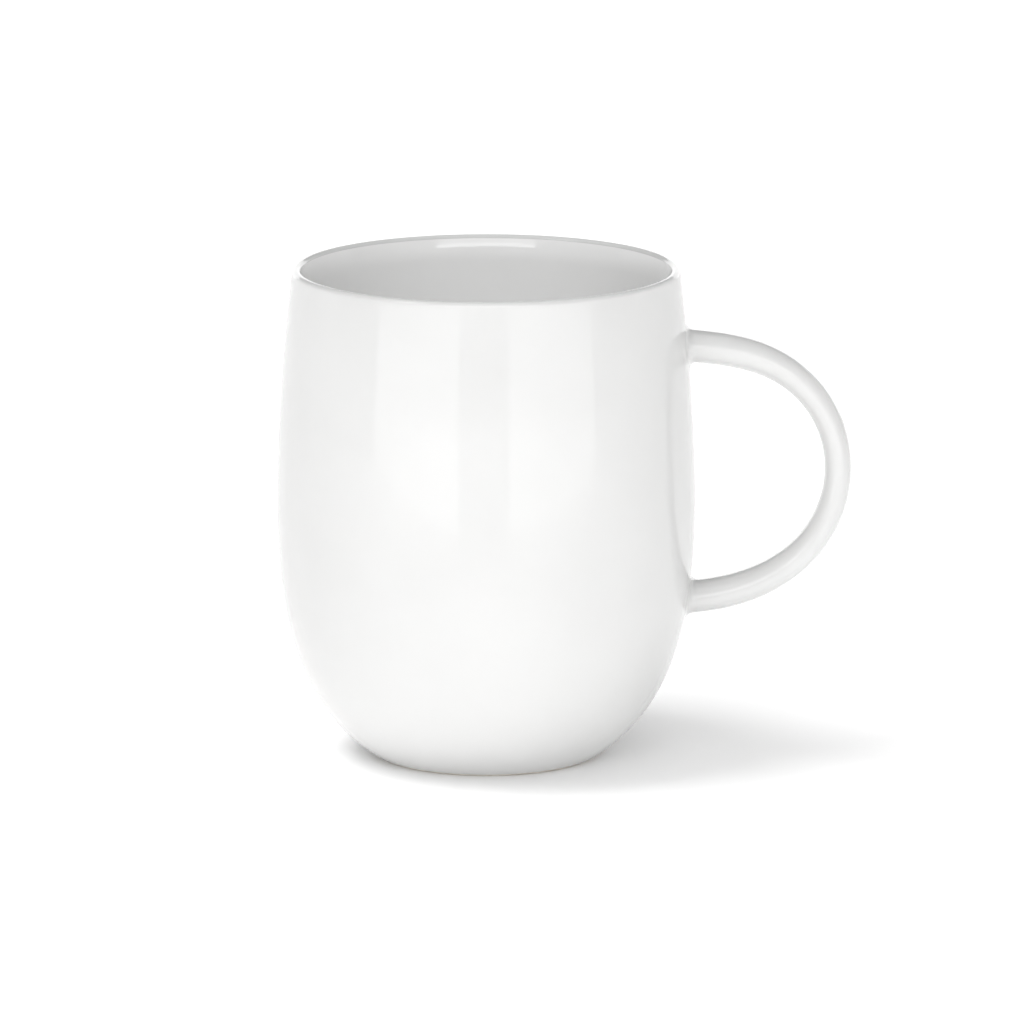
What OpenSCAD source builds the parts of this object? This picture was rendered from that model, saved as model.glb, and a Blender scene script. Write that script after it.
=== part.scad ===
// Glazed ceramic mug with a round belly, a rolled lip and a looped rod handle.
// Origin: centre of the foot ring, on the surface the mug stands on. +Z up, handle towards +X.

/* [Cup] */
// Height from the standing surface to the top of the lip
cup_h = 100; // [94:1:106]
// Outside diameter that sets the fullness of the belly
belly_d = 85; // [80:1:90]
// Outside diameter at the lip
mouth_d = 78.4; // [74:0.2:80]
// Outside diameter at the foot
foot_d = 45.8; // [42:0.2:50]
// Wall thickness with both glazes
wall_t = 3; // [2.6:0.1:3.6]
// Thickness of the rolled lip
lip_t = 2; // [1.6:0.1:2.4]
// Depth over which the inside of the wall thins towards the lip
lip_ease_h = 5; // [4:0.5:8]
// Height of the drinking floor
floor_z = 5.2; // [4.8:0.1:6.5]
// Radius between the drinking floor and the wall
floor_fillet = 9; // [7:0.5:11]

/* [Foot] */
// Height at which the outside glaze stops
bare_h = 0.6; // [0.4:0.1:1]
// Width of the bare ring that touches the table
foot_ring_w = 2.5; // [2:0.1:4]
// Depth of the recess inside the foot ring
recess_h = 2; // [1.6:0.1:2.4]
// Width of the rounded edge on each side of the bare ring
foot_edge = 0.5; // [0.3:0.1:0.8]

/* [Handle] */
// Distance from the mug's axis to the outermost point of the handle
handle_reach = 74; // [70:0.5:78]
// Height of the handle's centre line where it leaves the wall at the top
handle_top_z = 84.1; // [80:0.1:86]
// Height of the handle's centre line where it meets the wall at the bottom
handle_bottom_z = 31.9; // [30:0.1:36]
// Thickness of the handle at its outermost point, in the plane of the loop
grip_t = 5.3; // [4.6:0.1:7]
// Width of the handle at its outermost point, across the loop
grip_w = 7.2; // [6:0.1:9]
// Thickness of the handle at the wall, in the plane of the loop
root_t = 6.6; // [6:0.1:8]
// Width of the handle at the wall, across the loop
root_w = 9; // [8:0.1:10]
// Reach of the smoothed clay in the corner between handle and wall
joint_fillet = 1.7; // [1.3:0.1:2]

/* [Coats] */
// Thickness of the fired glaze
glaze_t = 0.2; // [0.15:0.01:0.3]
// Thickness of the slip that bonds the handle to the wall
slip_t = 0.4; // [0.3:0.05:0.6]

/* [Hidden] */

$fn = 96;
belly_r = belly_d / 2;
lip_r = lip_t / 2;
root_x = mouth_d / 2 + 0.8;
path_reach = handle_reach - grip_t / 2 - root_x;

// How strongly the stations of the wall curve crowd towards the foot
crowding = 0.7;
wall_steps = 36;
arc_steps = 8;
bend_steps = 4;
// Slope away from the wall at which the lip's round runs out into the inside
lip_ease_angle = 26;

// Lengthwise lines, rings along the loop, rows across a fillet and rings across an end face
sides = 24;
loop_rings = 44;
fillet_rows = 6;
cap_rings = 3;
upper = 0;
lower = 1;
// Part of the handle's curve in which its root is looked for
root_span = 0.2;
halvings = 16;
opening_depth = 12;

// Radii and heights that pull the wall curve from the foot to the lip
wall_curve = [
    [foot_d / 2, 0],
    [0.767 * belly_r, 0.06 * cup_h],
    [1.04 * belly_r, 0.19 * cup_h],
    [1.028 * belly_r, 0.39 * cup_h],
    [1.016 * belly_r, 0.66 * cup_h],
    [mouth_d / 2, cup_h]
];

// The handle's centre line, as shares of its reach and of its height
handle_pulls = [[0, 1], [0.37, 0.98], [0.7, 0.96], [1.24, 0.86], [1.4, 0.04], [0, 0]];
handle_curve = [
    for (pull = handle_pulls)
        [root_x + pull[0] * path_reach, mix(handle_bottom_z, handle_top_z, pull[1])]
];

function mix(a, b, t) = a + (b - a) * t;
function unit(v) = v / norm(v);
function between(a, b, steps) = [for (i = [0:steps]) mix(a, b, i / steps)];
function reversed(list) = [for (i = [len(list) - 1:-1:0]) list[i]];
function without_ends(list) = [for (i = [1:1:len(list) - 2]) list[i]];

// Point at share t of the Bezier curve with control points p, and its direction there
function bezier(p, t) =
    len(p) == 1 ? p[0] : bezier([for (i = [0:len(p) - 2]) mix(p[i], p[i + 1], t)], t);
function heading(p, t) = unit(bezier([for (i = [0:len(p) - 2]) p[i + 1] - p[i]], t));

// ---- Wall profile: [radius, height] ----

// Share of the wall curve that lies at height z
function station(z) =
    (sqrt(pow(1 - crowding, 2) + 4 * crowding * z / cup_h) - (1 - crowding)) / (2 * crowding);
function outward(t) = let (d = heading(wall_curve, t)) [d[1], -d[0]];
function wall_point(t, inset) = bezier(wall_curve, t) - inset * outward(t);
function wall_line(from, to, inset) = [for (t = between(from, to, wall_steps)) wall_point(t, inset)];

// Points on an arc, with angles in the plane of the profile
function arc(centre, r, from, to) =
    [for (a = between(from, to, arc_steps)) centre + r * [cos(a), sin(a)]];
function bend(a, corner, b) = [for (t = between(0, 1, bend_steps)) bezier([a, corner, b], t)];

bare_station = station(bare_h);
belly_station = station(cup_h / 2);
lip_tilt = outward(1)[1];
lip_station = station(cup_h - lip_r * (1 - lip_tilt));
lip_centre = wall_point(lip_station, lip_r);
lip_angle = atan2(outward(lip_station)[1], outward(lip_station)[0]);
lip_end_angle = lip_angle + 180 - lip_ease_angle;
ease_station = station(cup_h - lip_ease_h);

// The floor's fillet rolls along the wall: its station is where the fillet also touches the floor
function fillet_centre(t) = wall_point(t, wall_t + floor_fillet);
function find_floor_station(low, high, steps) =
    let (middle = (low + high) / 2)
    steps == 0 ? middle :
    fillet_centre(middle)[1] > floor_z + floor_fillet
        ? find_floor_station(low, middle, steps - 1)
        : find_floor_station(middle, high, steps - 1);
floor_station = find_floor_station(0, belly_station, halvings);
floor_angle = atan2(outward(floor_station)[1], outward(floor_station)[0]);

// The lip's round, its easing into the inside of the wall and the cavity, for a surface that
// lies under this much glaze
function lip_line(cover) = arc(lip_centre, lip_r - cover, lip_angle, lip_end_angle);
function lip_end(cover) = lip_centre + (lip_r - cover) * [cos(lip_end_angle), sin(lip_end_angle)];
function ease_line(cover) =
    let (
        start = lip_end(cover),
        start_way = [-sin(lip_end_angle), cos(lip_end_angle)],
        end = wall_point(ease_station, wall_t - cover),
        end_way = heading(wall_curve, ease_station),
        corner = start + start_way * cross(end - start, end_way) / cross(start_way, end_way)
    )
    bend(start, corner, end);
function cavity_line(cover) = concat(
    [lip_end(cover)],
    without_ends(ease_line(cover)),
    wall_line(ease_station, floor_station, wall_t - cover),
    arc(fillet_centre(floor_station), floor_fillet + cover, floor_angle, -90),
    [[0, floor_z - cover]]
);

// Foot: the bare edge below the glaze, the standing ring and the recess inside it
foot_outer_r = foot_d / 2;
ring_outer_r = foot_outer_r - foot_edge;
ring_inner_r = ring_outer_r - foot_ring_w;
recess_r = ring_inner_r - foot_edge;
recess_fillet = 0.8;
bare_edge = bend(wall_point(bare_station, glaze_t), [foot_outer_r, 0], [ring_outer_r, 0]);
ring_edge = bend([ring_inner_r, 0], [recess_r, 0], [recess_r, foot_edge]);
function recess_line(cover) = concat(
    [[recess_r - cover, foot_edge]],
    bend(
        [recess_r - cover, recess_h - recess_fillet],
        [recess_r - cover, recess_h - cover],
        [recess_r - recess_fillet, recess_h - cover]
    ),
    [[0, recess_h - cover]]
);

// ---- Handle surface: points [x, y, z] on lengthwise lines, one at each angle round the rod ----

angles = [for (i = [0:sides - 1]) i * 360 / sides];

// Radius of the wall at height z, and the wall's x above a point of the side view
function wall_r(z, inset) =
    let (t = station(z)) bezier(wall_curve, t)[0] - inset / outward(t)[0];
function on_wall(y, z, inset, gap) =
    [sqrt(pow(wall_r(z, inset), 2) - y * y) + gap, y, z];

// Half thickness and half width of the rod, which thins towards its outermost point
function half_size(t) =
    let (out = (bezier(handle_curve, t)[0] - root_x) / path_reach)
    [mix(root_t, grip_t, out * out), mix(root_w, grip_w, out * out)] / 2;
function rod_point(t, angle, inset) =
    let (
        centre = bezier(handle_curve, t),
        along = heading(handle_curve, t),
        half = half_size(t) - [inset, inset],
        up = half[0] * cos(angle)
    )
    [centre[0] - along[1] * up, half[1] * sin(angle), centre[1] + along[0] * up];

// Share of the curve at which a lengthwise line stands the gap clear of the wall
function height_off_wall(p, inset) = norm([p[0], p[1]]) - wall_r(p[2], inset);
function find_root(inside, outside, angle, inset, gap, steps) =
    let (middle = (inside + outside) / 2)
    steps == 0 ? middle :
    height_off_wall(rod_point(middle, angle, inset), inset) > gap
        ? find_root(inside, middle, angle, inset, gap, steps - 1)
        : find_root(middle, outside, angle, inset, gap, steps - 1);
function root_at(end, angle, inset, gap) =
    find_root(end, abs(end - root_span), angle, inset, gap, halvings);

// Share of the curve at which a fillet lets go of the rod
function fillet_end(end, angle, inset) =
    let (
        root = root_at(end, angle, inset, 0),
        step = joint_fillet / norm(rod_point(root, angle, inset) - rod_point(root + 0.01, angle, inset))
    )
    root + (end == upper ? 0.01 : -0.01) * step;

// Where a fillet runs out on the wall: the rod's outline there, widened by the fillet
function fillet_toe(end, angle, inset) =
    let (
        root = root_at(end, angle, 0, 0),
        p = rod_point(root, angle, 0),
        half = half_size(root),
        side = unit([sin(angle) / half[1], cos(angle) / half[0]]),
        rise = heading(handle_curve, root)[0]
    )
    on_wall(p[1] + joint_fillet * side[0], p[2] + joint_fillet * side[1] * rise, inset, 0);

// A ring of the fillet: share 0 lies on the wall and share 1 on the rod
function fillet_ring(end, share, inset) = [
    for (angle = angles)
        bezier([
            fillet_toe(end, angle, inset),
            rod_point(root_at(end, angle, inset, 0), angle, inset),
            rod_point(fillet_end(end, angle, inset), angle, inset)
        ], share)
];
function fillet_rings(end, inset) =
    [for (share = between(0, 1, fillet_rows)) fillet_ring(end, share, inset)];

// Rings of the rod between its two fillets
function loop_rings_between(inset) =
    let (
        starts = [for (angle = angles) fillet_end(upper, angle, inset)],
        ends = [for (angle = angles) fillet_end(lower, angle, inset)]
    )
    [
        for (share = without_ends(between(0, 1, loop_rings)))
            [for (i = [0:sides - 1]) rod_point(mix(starts[i], ends[i], share), angles[i], inset)]
    ];

// The rod's end ring, which follows the wall with room for the slip
function end_ring(end) =
    [for (angle = angles) rod_point(root_at(end, angle, glaze_t, slip_t), angle, glaze_t)];

// Rings that close an outline over the wall's curve, from its middle outwards
function cap(outline, gap) =
    let (middle = [0, 0, 1] * (outline[0][2] + outline[sides / 2][2]) / 2)
    [
        for (ring = [0:cap_rings - 1])
            [
                for (p = outline)
                    let (q = mix(middle, p, ring / cap_rings)) on_wall(q[1], q[2], glaze_t, gap)
            ]
    ];

// ---- Solids ----

function ring_faces(a, b) = [
    for (i = [0:sides - 1])
        let (next = (i + 1) % sides)
            each [[a + i, b + next, b + i], [a + i, a + next, b + next]]
];

// A solid of stacked rings whose first and last rings shrink to a point
module capped_solid(rings) {
    middle = without_ends(rings);
    points = concat([rings[0][0]], [for (ring = middle) each ring], [rings[len(rings) - 1][0]]);
    last = len(points) - 1;
    top = last - sides;
    faces = concat(
        [for (i = [0:sides - 1]) [0, 1 + (i + 1) % sides, 1 + i]],
        [for (k = [0:len(middle) - 2]) each ring_faces(1 + k * sides, 1 + (k + 1) * sides)],
        [for (i = [0:sides - 1]) [last, top + i, top + (i + 1) % sides]]
    );
    polyhedron(points, faces);
}

// A hollow sleeve of rings that close on themselves
module sleeve(rings) {
    points = [for (ring = rings) each ring];
    polyhedron(
        points,
        [for (k = [0:len(rings) - 1]) each ring_faces(k * sides, ((k + 1) % len(rings)) * sides)]
    );
}

module turned(profile) {
    rotate_extrude() polygon(profile);
}

// Prism through the outside glaze where a fillet meets the wall
module joint_opening(end) {
    outline = fillet_ring(end, 0, 0);
    translate([belly_r - opening_depth, 0, 0])
        rotate([90, 0, 90])
            linear_extrude(2 * opening_depth)
                polygon([for (p = outline) [p[1], p[2]]]);
}

module cup_body() {
    color("ivory")
        turned(concat(
            wall_line(bare_station, lip_station, glaze_t),
            without_ends(lip_line(glaze_t)),
            cavity_line(glaze_t),
            reversed(recess_line(0)),
            reversed(without_ends(ring_edge)),
            [[ring_inner_r, 0], [ring_outer_r, 0]],
            reversed(without_ends(bare_edge))
        ));
}

module handle() {
    color("ivory")
        capped_solid(concat(
            cap(end_ring(upper), slip_t),
            [end_ring(upper), fillet_ring(upper, 1, glaze_t)],
            loop_rings_between(glaze_t),
            [fillet_ring(lower, 1, glaze_t), end_ring(lower)],
            reversed(cap(end_ring(lower), slip_t))
        ));
}

// Slip under the end of the handle, smoothed out into the corner round it
module slip_joint(end) {
    rings = concat(
        cap(fillet_ring(end, 0, glaze_t), 0),
        fillet_rings(end, glaze_t),
        [end_ring(end)],
        reversed(cap(end_ring(end), slip_t))
    );
    color("linen")
        capped_solid(end == upper ? rings : reversed(rings));
}

module upper_slip_joint() {
    slip_joint(upper);
}

module lower_slip_joint() {
    slip_joint(lower);
}

module outer_glaze() {
    color("white")
        difference() {
            turned(concat(
                wall_line(bare_station, lip_station, 0),
                without_ends(lip_line(0)),
                [lip_end(0)],
                reversed(lip_line(glaze_t)),
                reversed(wall_line(bare_station, lip_station, glaze_t))
            ));
            joint_opening(upper);
            joint_opening(lower);
        }
}

module inner_glaze() {
    color("white")
        turned(concat(cavity_line(0), reversed(cavity_line(glaze_t))));
}

module handle_glaze() {
    color("white")
        sleeve(concat(
            fillet_rings(upper, 0),
            loop_rings_between(0),
            reversed(fillet_rings(lower, 0)),
            fillet_rings(lower, glaze_t),
            reversed(loop_rings_between(glaze_t)),
            reversed(fillet_rings(upper, glaze_t))
        ));
}

module base_glaze() {
    color("white")
        turned(concat(recess_line(0), reversed(recess_line(glaze_t))));
}

cup_body();
handle();
upper_slip_joint();
lower_slip_joint();
outer_glaze();
inner_glaze();
handle_glaze();
base_glaze();
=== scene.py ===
# A glazed white mug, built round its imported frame, on a plain pale studio floor.
import math

import bpy
import numpy as np
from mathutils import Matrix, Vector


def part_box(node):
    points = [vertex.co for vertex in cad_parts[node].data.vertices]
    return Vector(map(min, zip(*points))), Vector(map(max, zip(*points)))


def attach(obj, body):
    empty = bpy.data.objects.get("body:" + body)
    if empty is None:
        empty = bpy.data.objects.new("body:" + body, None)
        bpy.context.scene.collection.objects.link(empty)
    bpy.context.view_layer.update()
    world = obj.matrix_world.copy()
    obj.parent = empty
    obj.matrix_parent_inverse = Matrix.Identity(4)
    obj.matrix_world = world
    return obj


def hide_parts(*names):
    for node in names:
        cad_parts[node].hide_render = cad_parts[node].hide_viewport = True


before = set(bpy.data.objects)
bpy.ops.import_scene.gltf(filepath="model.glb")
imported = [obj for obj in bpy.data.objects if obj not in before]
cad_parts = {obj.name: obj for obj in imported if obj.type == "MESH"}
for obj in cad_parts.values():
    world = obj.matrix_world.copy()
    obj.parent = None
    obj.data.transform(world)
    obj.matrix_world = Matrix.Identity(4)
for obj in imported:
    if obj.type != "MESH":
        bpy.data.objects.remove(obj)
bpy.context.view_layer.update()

MM = 0.001

# ---- Sizes, in metres, from the frame's own boxes where a box shows them ----

WALL_LOW, WALL_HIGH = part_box("outer_glaze")
LOOP_LOW, LOOP_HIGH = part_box("handle_glaze")
CLAY_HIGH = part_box("cup_body")[1]
RECESS_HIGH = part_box("base_glaze")[1]

CUP_HEIGHT = round(WALL_HIGH.z / MM, 1) * MM
BELLY_RADIUS = 42.5 * MM
MOUTH_RADIUS = 39.2 * MM
FOOT_RADIUS = 22.9 * MM
GLAZE = round((WALL_HIGH.z - CLAY_HIGH.z) / MM, 1) * MM
BARE_HEIGHT = WALL_LOW.z
WALL = 3 * MM
LIP = 2 * MM
LIP_RADIUS = LIP / 2
LIP_EASE_HEIGHT = 5 * MM
LIP_EASE_ANGLE = math.radians(26)
FLOOR_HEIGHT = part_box("inner_glaze")[0].z + GLAZE
FLOOR_FILLET = 9 * MM

FOOT_EDGE = 0.5 * MM
FOOT_RING_WIDTH = 2.5 * MM
RING_OUTER_RADIUS = FOOT_RADIUS - FOOT_EDGE
RING_INNER_RADIUS = RING_OUTER_RADIUS - FOOT_RING_WIDTH
RECESS_RADIUS = RING_INNER_RADIUS - FOOT_EDGE
RECESS_HEIGHT = RECESS_HIGH.z
RECESS_FILLET = 0.8 * MM

HANDLE_REACH = round(LOOP_HIGH.x / MM, 1) * MM
HANDLE_TOP = 84.1 * MM
HANDLE_BOTTOM = 31.9 * MM
GRIP_SIZE = np.array([5.3, 7.2]) * MM
ROOT_SIZE = np.array([6.6, 9.0]) * MM
JOINT_FILLET = 1.7 * MM
SLIP = 0.4 * MM
ROOT_X = MOUTH_RADIUS + 0.8 * MM
PATH_REACH = HANDLE_REACH - GRIP_SIZE[0] / 2 - ROOT_X

# ---- How finely the pieces are meshed ----

SEGMENTS = 336
CELL = 0.8 * MM
PATCH_CELLS = 20
PATCH_RINGS = 5
SIDES = 4 * PATCH_CELLS
LIP_STEPS = 24
EASE_STEPS = 16
ARC_STEPS = 24
FOOT_STEPS = 8
LOOP_RINGS = 220
FILLET_ROWS = 14
CAP_RINGS = 6
HALVINGS = 40
UPPER, LOWER = 0.0, 1.0
ROOT_SPAN = 0.2
CREASE = math.radians(35)
AXIS_RADIUS = 1e-6 * MM

# ---- Curves ----

# How strongly the wall curve's stations crowd towards the foot
CROWDING = 0.7
WALL_CURVE = np.array([
    [FOOT_RADIUS, 0],
    [0.767 * BELLY_RADIUS, 0.06 * CUP_HEIGHT],
    [1.04 * BELLY_RADIUS, 0.19 * CUP_HEIGHT],
    [1.028 * BELLY_RADIUS, 0.39 * CUP_HEIGHT],
    [1.016 * BELLY_RADIUS, 0.66 * CUP_HEIGHT],
    [MOUTH_RADIUS, CUP_HEIGHT],
])
HANDLE_PULLS = [(0, 1), (0.37, 0.98), (0.7, 0.96), (1.24, 0.86), (1.4, 0.04), (0, 0)]
HANDLE_CURVE = np.array([
    [ROOT_X + out * PATH_REACH, HANDLE_BOTTOM + up * (HANDLE_TOP - HANDLE_BOTTOM)]
    for out, up in HANDLE_PULLS
])


def bezier(points, t):
    """Points at the shares t of the Bezier curve with these control points."""
    t = np.asarray(t, float)[..., None]
    level = list(points)
    while len(level) > 1:
        level = [a + (b - a) * t for a, b in zip(level, level[1:])]
    return level[0]


def unit(v):
    return v / np.linalg.norm(v, axis=-1, keepdims=True)


def heading(points, t):
    return unit(bezier(np.diff(points, axis=0), t))


# ---- The wall: profile points are (radius, height) ----

def station(z):
    """Share of the wall curve at height z."""
    lead = 1 - CROWDING
    return (np.sqrt(lead ** 2 + 4 * CROWDING * z / CUP_HEIGHT) - lead) / (2 * CROWDING)


def outward(t):
    along = heading(WALL_CURVE, t)
    return np.stack([along[..., 1], -along[..., 0]], -1)


def wall_profile(t, inset):
    return bezier(WALL_CURVE, t) - np.asarray(inset)[..., None] * outward(t)


BARE_STATION = station(BARE_HEIGHT)
BELLY_STATION = station(CUP_HEIGHT / 2)
LIP_STATION = station(CUP_HEIGHT - LIP_RADIUS * (1 - outward(1.0)[1]))
LIP_CENTRE = wall_profile(LIP_STATION, LIP_RADIUS)
LIP_ANGLE = math.atan2(outward(LIP_STATION)[1], outward(LIP_STATION)[0])
LIP_END_ANGLE = LIP_ANGLE + math.pi - LIP_EASE_ANGLE
EASE_STATION = station(CUP_HEIGHT - LIP_EASE_HEIGHT)


def stations(low, high):
    """Stations at even heights, about a cell apart."""
    low_z, high_z = bezier(WALL_CURVE, low)[1], bezier(WALL_CURVE, high)[1]
    steps = round((high_z - low_z) / CELL)
    return station(np.linspace(low_z, high_z, steps + 1))


def arc(centre, radius, start, end, steps):
    a = np.linspace(start, end, steps + 1)
    return centre + radius * np.stack([np.cos(a), np.sin(a)], 1)


def bend(start, corner, end, steps):
    return bezier([np.array(p, float) for p in (start, corner, end)], np.linspace(0, 1, steps + 1))


def fillet_centre(t):
    return wall_profile(t, WALL + FLOOR_FILLET)


def find_floor_station():
    """The station at which the floor's fillet touches both the wall and the floor."""
    low, high = 0.0, BELLY_STATION
    for _ in range(HALVINGS):
        middle = (low + high) / 2
        if fillet_centre(middle)[1] > FLOOR_HEIGHT + FLOOR_FILLET:
            high = middle
        else:
            low = middle
    return low


FLOOR_STATION = find_floor_station()


def lip_line(cover):
    return arc(LIP_CENTRE, LIP_RADIUS - cover, LIP_ANGLE, LIP_END_ANGLE, LIP_STEPS)


def cross(a, b):
    return a[0] * b[1] - a[1] * b[0]


def ease_line(cover):
    """The inside from the lip's round down to the full wall."""
    start, start_way = lip_line(cover)[-1], np.array([-math.sin(LIP_END_ANGLE), math.cos(LIP_END_ANGLE)])
    end, end_way = wall_profile(EASE_STATION, WALL - cover), heading(WALL_CURVE, EASE_STATION)
    corner = start + start_way * cross(end - start, end_way) / cross(start_way, end_way)
    return bend(start, corner, end, EASE_STEPS)


def level_line(r_from, r_to, z):
    steps = max(2, round(abs(r_from - r_to) / (2 * CELL)))
    return np.stack([np.linspace(r_from, r_to, steps + 1), np.full(steps + 1, z)], 1)


def cavity_line(cover):
    """The inside, from the lip down to the middle of the drinking floor."""
    wall = wall_profile(stations(FLOOR_STATION, EASE_STATION)[::-1], WALL - cover)
    out = outward(FLOOR_STATION)
    centre = fillet_centre(FLOOR_STATION)
    corner = arc(centre, FLOOR_FILLET + cover, math.atan2(out[1], out[0]), -math.pi / 2, ARC_STEPS)
    floor = level_line(centre[0], 0, FLOOR_HEIGHT - cover)
    return np.concatenate([ease_line(cover), wall[1:], corner[1:], floor[1:]])


def recess_line(cover):
    """The recess under the cup, from its edge to the middle."""
    wall, roof = RECESS_RADIUS - cover, RECESS_HEIGHT - cover
    side, top = [wall, RECESS_HEIGHT - RECESS_FILLET], [RECESS_RADIUS - RECESS_FILLET, roof]
    corner = bend(side, [wall, roof], top, FOOT_STEPS)
    return np.concatenate([[[wall, FOOT_EDGE]], corner, level_line(corner[-1, 0], 0, roof)[1:]])


# ---- The handle: a rod whose lengthwise lines start and end on the wall ----

ANGLES = np.arange(SIDES) * 2 * math.pi / SIDES


def wall_radius(z, inset):
    t = station(z)
    return bezier(WALL_CURVE, t)[..., 0] - inset / outward(t)[..., 0]


def rod_point(t, angle, inset):
    centre, along = bezier(HANDLE_CURVE, t), heading(HANDLE_CURVE, t)
    out = ((centre[..., 0] - ROOT_X) / PATH_REACH)[..., None]
    half = (ROOT_SIZE + (GRIP_SIZE - ROOT_SIZE) * out ** 2) / 2 - inset
    up = half[..., 0] * np.cos(angle)
    return np.stack([
        centre[..., 0] - along[..., 1] * up,
        half[..., 1] * np.sin(angle),
        centre[..., 1] + along[..., 0] * up,
    ], -1)


def find_roots(end, inset, gap):
    """For each lengthwise line, the share of the handle at which it stands the gap off the wall."""
    inside, outside = np.full(SIDES, end), np.full(SIDES, abs(end - ROOT_SPAN))
    for _ in range(HALVINGS):
        middle = (inside + outside) / 2
        p = rod_point(middle, ANGLES, inset)
        clear = np.hypot(p[:, 0], p[:, 1]) - wall_radius(p[:, 2], inset) > gap
        outside, inside = np.where(clear, middle, outside), np.where(clear, inside, middle)
    return (inside + outside) / 2


def on_wall(azimuth, t, inset):
    profile = wall_profile(t, inset)
    return np.stack([
        profile[..., 0] * np.cos(azimuth), profile[..., 0] * np.sin(azimuth), profile[..., 1]
    ], -1)


def wall_normal(azimuth, t):
    out = outward(t)
    return np.stack([out[..., 0] * np.cos(azimuth), out[..., 0] * np.sin(azimuth), out[..., 1]], -1)


def toe_line(end):
    """Azimuth and station at which each line of the fillet runs out on the wall."""
    roots = find_roots(end, 0, 0)
    p = rod_point(roots, ANGLES, 0)
    section = p[:, 1:] - np.stack([np.zeros(SIDES), bezier(HANDLE_CURVE, roots)[:, 1]], 1)
    half = np.array([abs(section[:, 0]).max(), abs(section[:, 1]).max()])
    side = unit(section / half ** 2)
    y, z = p[:, 1] + JOINT_FILLET * side[:, 0], p[:, 2] + JOINT_FILLET * side[:, 1]
    return np.arcsin(y / wall_radius(z, 0)), station(z)


def fillet_leave(end, inset):
    """Share of the handle at which each line of the fillet lets go of the rod."""
    roots = find_roots(end, inset, 0)
    probe = 0.01 if end == UPPER else -0.01
    step = np.linalg.norm(rod_point(roots + probe, ANGLES, inset) - rod_point(roots, ANGLES, inset), axis=1)
    return roots + probe * JOINT_FILLET / step


def eased(steps):
    """Shares from 0 to 1 that crowd a little towards both ends."""
    t = np.linspace(0, 1, steps + 1)
    return t * t * (3 - 2 * t)


def fillet_rings(end, inset):
    """Rings of the fillet, tangent to the wall at the toe and to the rod where it leaves."""
    azimuth, t = toe_line(end)
    toe, normal = on_wall(azimuth, t, inset), wall_normal(azimuth, t)
    leave = fillet_leave(end, inset)
    root = rod_point(find_roots(end, inset, 0), ANGLES, inset)
    rod = rod_point(leave, ANGLES, inset)
    probe = -0.001 if end == UPPER else 0.001
    rod_way = unit(rod_point(leave + probe, ANGLES, inset) - rod)
    wall_way = root - toe
    wall_way = unit(wall_way - (wall_way * normal).sum(1, keepdims=True) * normal)
    reach = np.linalg.norm(root - toe, axis=1, keepdims=True) * 2 / 3
    pulls = [toe, toe + reach * wall_way, rod + reach * rod_way, rod]
    return [bezier(pulls, np.full(SIDES, share)) for share in eased(FILLET_ROWS)]


def loop_rings(inset):
    starts, ends = fillet_leave(UPPER, inset), fillet_leave(LOWER, inset)
    shares = np.linspace(0, 1, LOOP_RINGS + 1)[1:-1]
    return [rod_point(starts + (ends - starts) * share, ANGLES, inset) for share in shares]


def end_ring(end):
    return rod_point(find_roots(end, GLAZE, SLIP), ANGLES, GLAZE)


def cap_rings(ring, gap):
    """Rings over the wall's curve, from the middle of an outline outwards."""
    middle = np.array([0, (ring[0, 2] + ring[SIDES // 2, 2]) / 2])
    rings = []
    for share in np.arange(CAP_RINGS) / CAP_RINGS:
        yz = middle + (ring[:, 1:] - middle) * share
        x = np.sqrt(wall_radius(yz[:, 1], GLAZE) ** 2 - yz[:, 0] ** 2) + gap
        rings.append(np.column_stack([x, yz]))
    return rings


# ---- Meshes ----

def make_object(name, points, faces):
    mesh = bpy.data.meshes.new(name)
    mesh.from_pydata(points.tolist() if hasattr(points, "tolist") else points, [], faces)
    mesh.validate()
    mesh.shade_smooth()
    mesh.set_sharp_from_angle(angle=CREASE)
    piece = bpy.data.objects.new(name, mesh)
    bpy.context.scene.collection.objects.link(piece)
    return piece


def ring_faces(a, b, count):
    """Quads between two rings of points that start at a and b."""
    return [(a + i, b + i, b + (i + 1) % count, a + (i + 1) % count) for i in range(count)]


def flipped(faces):
    return [face[::-1] for face in faces]


def turned(name, outline):
    """Solid of revolution of an outline of (radius, height) points; a radius of 0 becomes one point."""
    azimuth = np.arange(SEGMENTS) * 2 * math.pi / SEGMENTS
    points, rings = [], []
    for r, z in outline:
        on_axis = r < AXIS_RADIUS
        rings.append((len(points), on_axis))
        if on_axis:
            points.append((0.0, 0.0, z))
        else:
            points.extend(zip(r * np.cos(azimuth), r * np.sin(azimuth), np.full(SEGMENTS, z)))
    faces = []
    for (a, a_point), (b, b_point) in zip(rings, rings[1:] + rings[:1]):
        if a_point and b_point:
            continue
        for i in range(SEGMENTS):
            j = (i + 1) % SEGMENTS
            if a_point:
                faces.append((a, b + j, b + i))
            elif b_point:
                faces.append((a + i, a + j, b))
            else:
                faces.append((a + i, a + j, b + j, b + i))
    return make_object(name, [tuple(map(float, p)) for p in points], faces)


def capped_rod(name, rings):
    """Solid of stacked rings, closed with a point at both ends."""
    inner = rings[1:-1]
    points = np.concatenate([rings[0][:1]] + inner + [rings[-1][:1]])
    last = len(points) - 1
    top = last - SIDES
    faces = [(0, 1 + i, 1 + (i + 1) % SIDES) for i in range(SIDES)]
    for k in range(len(inner) - 1):
        faces += ring_faces(1 + k * SIDES, 1 + (k + 1) * SIDES, SIDES)
    faces += [(last, top + (i + 1) % SIDES, top + i) for i in range(SIDES)]
    return make_object(name, points, faces)


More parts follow.
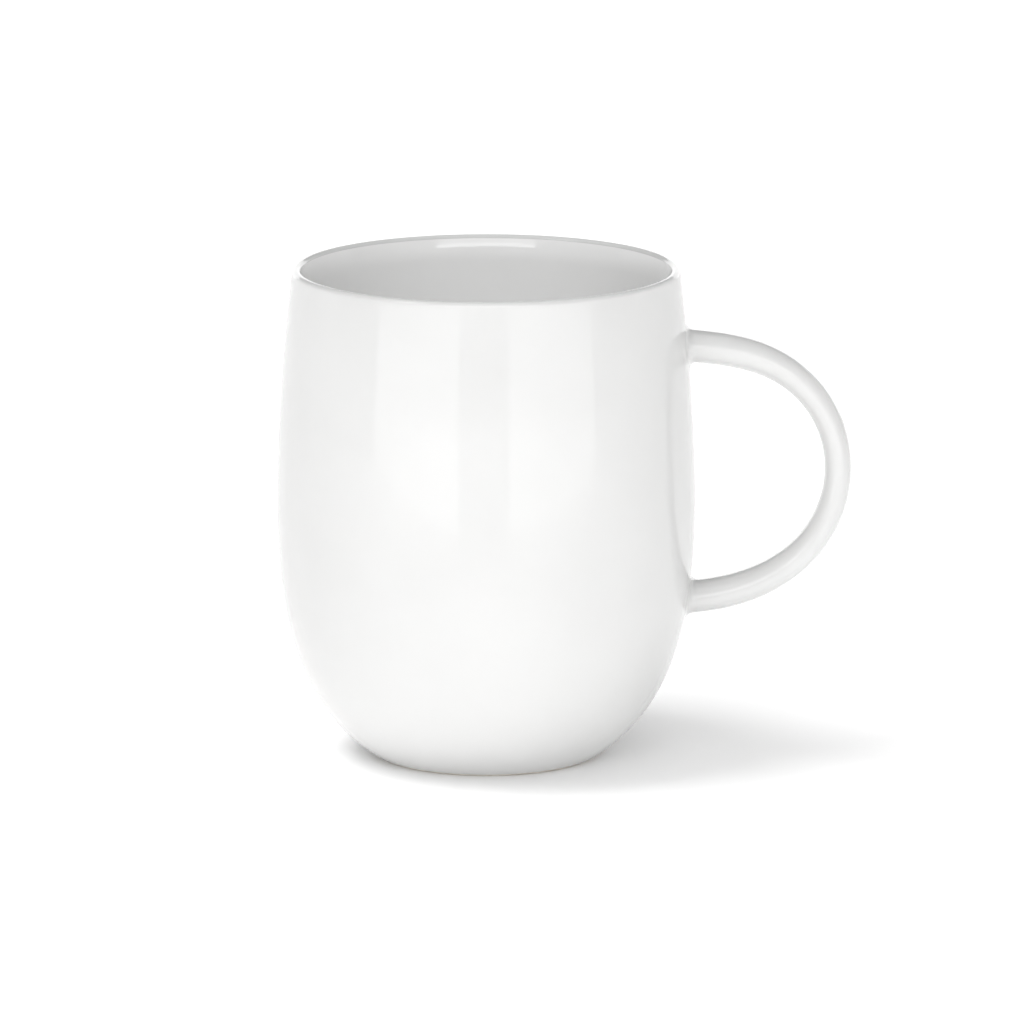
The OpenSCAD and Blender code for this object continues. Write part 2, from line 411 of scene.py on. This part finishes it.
def sleeve(name, rings):
    """Hollow sleeve of rings that close on themselves."""
    faces = []
    for k in range(len(rings)):
        faces += ring_faces(k * SIDES, (k + 1) % len(rings) * SIDES, SIDES)
    return make_object(name, np.concatenate(rings), faces)


# ---- The outside glaze, which is open where the handle's fillets run out ----

def square_ring(end):
    """Cell offsets (across, up) round a square patch, in step with the handle's lines."""
    half = PATCH_CELLS // 2
    ring = []
    for k in range(SIDES):
        side, along = divmod(k + half, PATCH_CELLS)
        step = along - half
        ring.append([(step, half), (half, -step), (-step, -half), (-half, step)][side % 4])
    flip = 1 if end == UPPER else -1
    return [(across, up * flip) for across, up in ring]


def patch_rings(end, rows, step):
    """Azimuth and station of the rings that fill a square patch round one fillet's toe."""
    azimuth, t = toe_line(end)
    z = bezier(WALL_CURVE, t)[:, 1]
    row_z = bezier(WALL_CURVE, rows)[:, 1]
    middle = int(abs(row_z - (z.max() + z.min()) / 2).argmin())
    edge = square_ring(end)
    edge_azimuth = np.array([across for across, _ in edge]) * step
    edge_z = row_z[[middle + up for _, up in edge]]
    rings = []
    for share in np.arange(PATCH_RINGS) / PATCH_RINGS:
        mixed_z = z + (edge_z - z) * share
        rings.append((azimuth + (edge_azimuth - azimuth) * share, station(mixed_z)))
    return middle, edge, rings


def glaze_sheet(rows, inset, patches):
    """Points of one side of the outside glaze: the wall's grid, then the patches' own rings."""
    step = 2 * math.pi / SEGMENTS
    azimuth = (np.arange(SEGMENTS) * step)[None, :]
    grid = on_wall(azimuth + 0 * rows[:, None], rows[:, None] + 0 * azimuth, inset)
    parts = [grid.reshape(-1, 3)]
    parts += [on_wall(a, t, inset) for _, _, rings in patches for a, t in rings]
    return np.concatenate(parts)


def sheet_faces(row_count, patches):
    half = PATCH_CELLS // 2
    taken = {(middle + up, across % SEGMENTS)
             for middle, _, _ in patches for up in range(-half, half) for across in range(-half, half)}
    faces = []
    for r in range(row_count - 1):
        for c in range(SEGMENTS):
            if (r, c) not in taken:
                d = (c + 1) % SEGMENTS
                a, b = r * SEGMENTS, (r + 1) * SEGMENTS
                faces.append((a + c, a + d, b + d, b + c))
    first = row_count * SEGMENTS
    for end, (middle, edge, rings) in zip((UPPER, LOWER), patches):
        loops = [[first + k * SIDES + i for i in range(SIDES)] for k in range(len(rings))]
        loops.append([(middle + up) * SEGMENTS + across % SEGMENTS for across, up in edge])
        for low, high in zip(loops, loops[1:]):
            for i in range(SIDES):
                j = (i + 1) % SIDES
                quad = (low[i], high[i], high[j], low[j])
                faces.append(quad[::-1] if end == UPPER else quad)
        first += len(rings) * SIDES
    return faces


def used_only(points, faces):
    """Drops the points that no face uses."""
    used = sorted({i for face in faces for i in face})
    place = {old: new for new, old in enumerate(used)}
    return points[used], [tuple(place[i] for i in face) for face in faces]


def crown_points(inset):
    """Rings over the lip, from the wall's last row inwards."""
    azimuth = np.arange(SEGMENTS) * 2 * math.pi / SEGMENTS
    return np.concatenate([
        np.column_stack([r * np.cos(azimuth), r * np.sin(azimuth), np.full(SEGMENTS, z)])
        for r, z in lip_line(inset)[1:]
    ])


def coat_side(rows, inset, patches):
    """Points and faces of one side of the coat, and where its last ring over the lip starts."""
    sheet = glaze_sheet(rows, inset, patches)
    crown = crown_points(inset)
    faces = sheet_faces(len(rows), patches)
    starts = [(len(rows) - 1) * SEGMENTS] + list(range(len(sheet), len(sheet) + len(crown), SEGMENTS))
    for a, b in zip(starts, starts[1:]):
        faces += flipped(ring_faces(a, b, SEGMENTS))
    return np.concatenate([sheet, crown]), faces, starts[-1]


def outer_glaze_coat():
    rows = stations(BARE_STATION, LIP_STATION)
    patches = [patch_rings(end, rows, 2 * math.pi / SEGMENTS) for end in (UPPER, LOWER)]
    outside, outside_faces, outside_crown = coat_side(rows, 0.0, patches)
    inside, inside_faces, inside_crown = coat_side(rows, GLAZE, patches)
    inner = len(outside)
    faces = outside_faces + flipped([tuple(inner + i for i in face) for face in inside_faces])
    faces += ring_faces(0, inner, SEGMENTS)
    faces += flipped(ring_faces(outside_crown, inner + inside_crown, SEGMENTS))
    hole = len(rows) * SEGMENTS
    for end, (_, _, rings) in zip((UPPER, LOWER), patches):
        edge = ring_faces(hole, inner + hole, SIDES)
        faces += edge if end == UPPER else flipped(edge)
        hole += len(rings) * SIDES
    return make_object("outer_glaze_coat", *used_only(np.concatenate([outside, inside]), faces))


# ---- Materials: heights of the relief in metres ----

SLOW_WAVE = 0.12 * MM
ORANGE_PEEL = 0.004 * MM
COARSE_GRIT = 0.06 * MM
FINE_GRIT = 0.04 * MM


def new_material(name):
    material = bpy.data.materials.new(name)
    material.use_nodes = True
    return material, material.node_tree.nodes, material.node_tree.links


def noise(nodes, links, scale, detail=2.0, roughness=0.5):
    where = nodes.new("ShaderNodeTexCoord")
    texture = nodes.new("ShaderNodeTexNoise")
    texture.inputs["Scale"].default_value = scale
    texture.inputs["Detail"].default_value = detail
    texture.inputs["Roughness"].default_value = roughness
    links.new(where.outputs["Object"], texture.inputs["Vector"])
    return texture.outputs["Fac"]


def ramp(nodes, links, source, low, high, colours):
    band = nodes.new("ShaderNodeValToRGB")
    band.color_ramp.elements[0].position = low
    band.color_ramp.elements[1].position = high
    for element, colour in zip(band.color_ramp.elements, colours):
        element.color = (*colour, 1)
    links.new(source, band.inputs["Fac"])
    return band.outputs["Color"]


def spread(nodes, links, source, low, high):
    scale = nodes.new("ShaderNodeMapRange")
    scale.inputs["To Min"].default_value = low
    scale.inputs["To Max"].default_value = high
    links.new(source, scale.inputs["Value"])
    return scale.outputs["Result"]


def bump(nodes, links, height, distance, under=None):
    relief = nodes.new("ShaderNodeBump")
    relief.inputs["Strength"].default_value = 1.0
    relief.inputs["Distance"].default_value = distance
    links.new(height, relief.inputs["Height"])
    if under is not None:
        links.new(under, relief.inputs["Normal"])
    return relief.outputs["Normal"]


def glaze_material(name, pale, tint):
    """Clear gloss fired over white: a faint drift of tone, a slow wave and a fine orange peel."""
    material, nodes, links = new_material(name)
    shader = nodes["Principled BSDF"]
    tone = noise(nodes, links, 45, detail=3)
    links.new(ramp(nodes, links, tone, 0.35, 0.65, (tint, pale)), shader.inputs["Base Color"])
    haze = noise(nodes, links, 120, detail=2)
    links.new(spread(nodes, links, haze, 0.05, 0.1), shader.inputs["Roughness"])
    shader.inputs["IOR"].default_value = 1.52
    slow = bump(nodes, links, noise(nodes, links, 55, detail=1), SLOW_WAVE)
    peel = bump(nodes, links, noise(nodes, links, 900, detail=2), ORANGE_PEEL, under=slow)
    links.new(peel, shader.inputs["Normal"])
    return material


def bisque_material(name, light, dark, grit=1.0):
    """Bare fired clay: matte, with fine grit and a few darker specks."""
    material, nodes, links = new_material(name)
    shader = nodes["Principled BSDF"]
    tone = noise(nodes, links, 350, detail=6, roughness=0.65)
    links.new(ramp(nodes, links, tone, 0.3, 0.62, (dark, light)), shader.inputs["Base Color"])
    links.new(spread(nodes, links, tone, 0.7, 0.9), shader.inputs["Roughness"])
    coarse = bump(nodes, links, noise(nodes, links, 900, detail=3), COARSE_GRIT * grit)
    grain = noise(nodes, links, 4200, detail=4, roughness=0.7)
    fine = bump(nodes, links, grain, FINE_GRIT * grit, under=coarse)
    links.new(fine, shader.inputs["Normal"])
    return material


def floor_material():
    material, nodes, links = new_material("pale_floor")
    shader = nodes["Principled BSDF"]
    tone = noise(nodes, links, 3, detail=2)
    links.new(ramp(nodes, links, tone, 0.3, 0.7, ((0.93,) * 3, (0.95,) * 3)), shader.inputs["Base Color"])
    shader.inputs["Roughness"].default_value = 0.9
    shader.inputs["Specular IOR Level"].default_value = 0.1
    shader.inputs["Emission Color"].default_value = (1, 1, 1, 1)
    shader.inputs["Emission Strength"].default_value = FLOOR_GLOW
    return material


# ---- Pieces ----

def dress(piece, material, slot, *nodes):
    piece.data.materials.clear()
    piece.data.materials.append(material)
    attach(piece, "root")
    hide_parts(*nodes)


def build_clay(bisque):
    glaze_end, ring_end = wall_profile(BARE_STATION, GLAZE), [RING_OUTER_RADIUS, 0]
    bare_edge = bend(glaze_end, [FOOT_RADIUS, 0], ring_end, FOOT_STEPS)
    ring_edge = bend([RING_INNER_RADIUS, 0], [RECESS_RADIUS, 0], [RECESS_RADIUS, FOOT_EDGE], FOOT_STEPS)
    outline = np.concatenate([
        wall_profile(stations(BARE_STATION, LIP_STATION), GLAZE),
        lip_line(GLAZE)[1:-1],
        cavity_line(GLAZE),
        recess_line(0)[::-1],
        ring_edge[:-1][::-1],
        bare_edge[1:][::-1],
    ])
    dress(turned("cup_clay", outline), bisque, "bare_clay", "cup_body")
    rings = (cap_rings(end_ring(UPPER), SLIP) + [end_ring(UPPER), fillet_rings(UPPER, GLAZE)[-1]]
             + loop_rings(GLAZE)
             + [fillet_rings(LOWER, GLAZE)[-1], end_ring(LOWER)] + cap_rings(end_ring(LOWER), SLIP)[::-1])
    dress(capped_rod("handle_clay", rings), bisque, "bare_clay", "handle")


def build_slip_joint(end, name, node, slip):
    fillet = fillet_rings(end, GLAZE)
    rings = cap_rings(fillet[0], 0) + fillet + [end_ring(end)] + cap_rings(end_ring(end), SLIP)[::-1]
    dress(capped_rod(name, rings if end == UPPER else rings[::-1]), slip, "slip", node)


def build_glaze(glaze, inside_glaze_painted_lighter):
    dress(outer_glaze_coat(), glaze, "glaze", "outer_glaze")
    inside = np.concatenate([cavity_line(0), cavity_line(GLAZE)[::-1]])
    dress(turned("inner_glaze_coat", inside), inside_glaze_painted_lighter, "glaze", "inner_glaze")
    rings = (fillet_rings(UPPER, 0) + loop_rings(0) + fillet_rings(LOWER, 0)[::-1]
             + fillet_rings(LOWER, GLAZE) + loop_rings(GLAZE)[::-1] + fillet_rings(UPPER, GLAZE)[::-1])
    dress(sleeve("handle_glaze_coat", rings), glaze, "glaze", "handle_glaze")
    under = np.concatenate([recess_line(0), recess_line(GLAZE)[::-1]])
    dress(turned("base_glaze_coat", under), glaze, "glaze", "base_glaze")


# ---- Studio ----

CAMERA_PLACE = (0.0, -1.5238, 0.3782)
CAMERA_TILT = math.radians(12.13)
CAMERA_PAN = math.radians(0.155)
LENS_MM = 272.8


def build_camera():
    data = bpy.data.cameras.new("camera")
    data.lens = LENS_MM
    data.sensor_width = 36
    data.clip_end = 100
    camera = bpy.data.objects.new("camera", data)
    camera.location = CAMERA_PLACE
    camera.rotation_euler = (math.pi / 2 - CAMERA_TILT, 0, -CAMERA_PAN)
    bpy.context.scene.collection.objects.link(camera)
    bpy.context.scene.camera = camera


# Soft boxes: place, aim, width and height in metres, and radiance where white paper shows as 1
SOFT_BOXES = {
    "low_front_box": ((0, -1.2, 0.455), (0, 0, 0.455), (1.5, 0.19), 4.0),
    "front_box": ((0, -1.2, 0.8), (0, 0, 0.8), (1.5, 0.5), 1.7),
    "key_box": ((-0.62, -0.33, 0.93), (0.05, 0.05, 0), (0.35, 0.35), 2.7),
    "right_box": ((0.98, -0.69, 0.36), (0, 0, 0.36), (1.68, 0.48), 0.3),
    "top_box": ((0, 0, 1.4), (0, 0, 0), (0.8, 1.8), 0.85),
    "top_left_box": ((-0.85, 0, 1.4), (-0.85, 0, 0), (0.9, 1.8), 0.58),
    "back_box": ((0, 1.6, 0.31), (0, 0, 0.31), (1.85, 0.58), 1.4),
    "back_left_box": ((-1.35, 0.86, 0.26), (0, 0, 0.26), (1.67, 0.48), 0.6),
    "back_right_box": ((1.35, 0.86, 0.42), (0, 0, 0.42), (1.67, 0.8), 0.6),
    "left_strip": ((-0.306, -0.285, 0.061), (-0.306, 0, 0.061), (0.468, 0.118), 1.1),
    "right_strip": ((0.28, -0.285, 0.061), (0.28, 0, 0.061), (0.44, 0.118), 1.03),
}
# Light that only the floor receives: strength, tilt from overhead and softness in degrees
FLOOR_WASH = 1.35
FLOOR_WASH_TILT = 22
FLOOR_WASH_SPREAD = 28
FLOOR_GLOW = 0.03
ROOM_LIGHT = 0.3


def soft_box(name, place, aim, size, radiance):
    data = bpy.data.lights.new(name, "AREA")
    data.shape = "RECTANGLE"
    data.size, data.size_y = size
    data.energy = radiance * math.pi * size[0] * size[1]
    box = bpy.data.objects.new(name, data)
    box.location = place
    x, y, z = np.array(aim) - np.array(place)
    box.rotation_euler = (math.pi / 2 + math.atan2(z, math.hypot(x, y)), 0, -math.atan2(x, y))
    bpy.context.scene.collection.objects.link(box)
    return box


def build_floor():
    half = 12.0
    corners = [(-half, -half, 0), (half, -half, 0), (half, half, 0), (-half, half, 0)]
    floor = make_object("studio_floor", corners, [(0, 1, 2, 3)])
    floor.data.materials.append(floor_material())
    return floor


def build_lights(floor):
    """Soft boxes round the mug, and a wash from above that brings only the floor up to white."""
    for name, box in SOFT_BOXES.items():
        soft_box(name, *box)
    washed = bpy.data.collections.new("washed_floor")
    washed.objects.link(floor)
    data = bpy.data.lights.new("floor_wash", "SUN")
    data.energy = FLOOR_WASH
    data.angle = math.radians(FLOOR_WASH_SPREAD)
    wash = bpy.data.objects.new("floor_wash", data)
    wash.rotation_euler = (0, -math.radians(FLOOR_WASH_TILT), 0)
    wash.light_linking.receiver_collection = washed
    bpy.context.scene.collection.objects.link(wash)
    world = bpy.data.worlds.new("studio")
    world.use_nodes = True
    world.node_tree.nodes["Background"].inputs["Color"].default_value = (1, 1, 1, 1)
    world.node_tree.nodes["Background"].inputs["Strength"].default_value = ROOM_LIGHT
    bpy.context.scene.world = world
    bpy.context.scene.view_settings.view_transform = "Standard"


build_camera()
bisque = bisque_material("bare_clay", (0.82, 0.79, 0.73), (0.68, 0.64, 0.58))
slip = bisque_material("fired_slip", (0.8, 0.76, 0.7), (0.66, 0.61, 0.55), grit=0.6)
# One white glaze in two copies: the inside copy is painted lighter (0.935 against 0.71 outside). This is
# painted light that brightens the inside of the cup.
glaze = glaze_material("white_glaze", (0.71, 0.71, 0.705), (0.695, 0.695, 0.69))
inside_glaze_painted_lighter = glaze_material("inside_glaze_painted_lighter", (0.935, 0.935, 0.93), (0.92, 0.92, 0.915))
build_clay(bisque)
build_slip_joint(UPPER, "upper_slip", "upper_slip_joint", slip)
build_slip_joint(LOWER, "lower_slip", "lower_slip_joint", slip)
build_glaze(glaze, inside_glaze_painted_lighter)
build_lights(build_floor())
